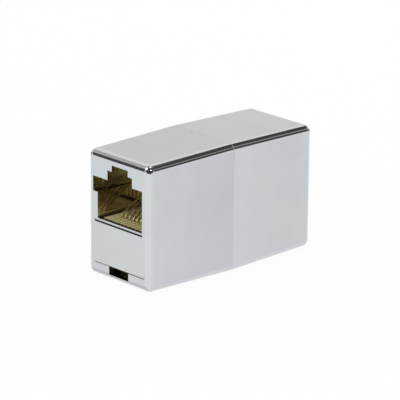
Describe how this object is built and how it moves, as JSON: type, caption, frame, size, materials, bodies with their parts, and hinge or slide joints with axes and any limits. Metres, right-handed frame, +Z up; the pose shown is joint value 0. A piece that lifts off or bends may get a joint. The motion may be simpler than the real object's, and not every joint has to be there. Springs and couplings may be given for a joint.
{
  "type": "rj45 inline coupler",
  "caption": "Plated inline coupler that joins two modular network plugs end to end, straight through, with a stepped plug socket in each end.",
  "frame": {"origin": "under the middle of the seam between the two half shells, at the lowest point", "axes": "+Z up, Y along the length with the front socket at -Y, X across"},
  "size_m": [0.0172, 0.0404, 0.0242],
  "materials": {
    "shell_plating": "bright plated plastic",
    "block_plastic": "natural moulded",
    "contact_gold": "gold plated strip",
    "board_laminate": "coated laminate",
    "spring_metal": "rolled strip"
  },
  "bodies": {
    "root": {"front_shell": "shell_plating", "rear_shell": "shell_plating", "front_contact_block": "block_plastic", "rear_contact_block": "block_plastic", "circuit_board": "board_laminate", "front_contact_1": "contact_gold", "front_contact_2": "contact_gold", "front_contact_3": "contact_gold", "front_contact_4": "contact_gold", "front_contact_5": "contact_gold", "front_contact_6": "contact_gold", "front_contact_7": "contact_gold", "front_contact_8": "contact_gold", "rear_contact_1": "contact_gold", "rear_contact_2": "contact_gold", "rear_contact_3": "contact_gold", "rear_contact_4": "contact_gold", "rear_contact_5": "contact_gold", "rear_contact_6": "contact_gold", "rear_contact_7": "contact_gold", "rear_contact_8": "contact_gold", "front_shield_spring": "spring_metal", "rear_shield_spring": "spring_metal"}
  },
  "joints": []
}
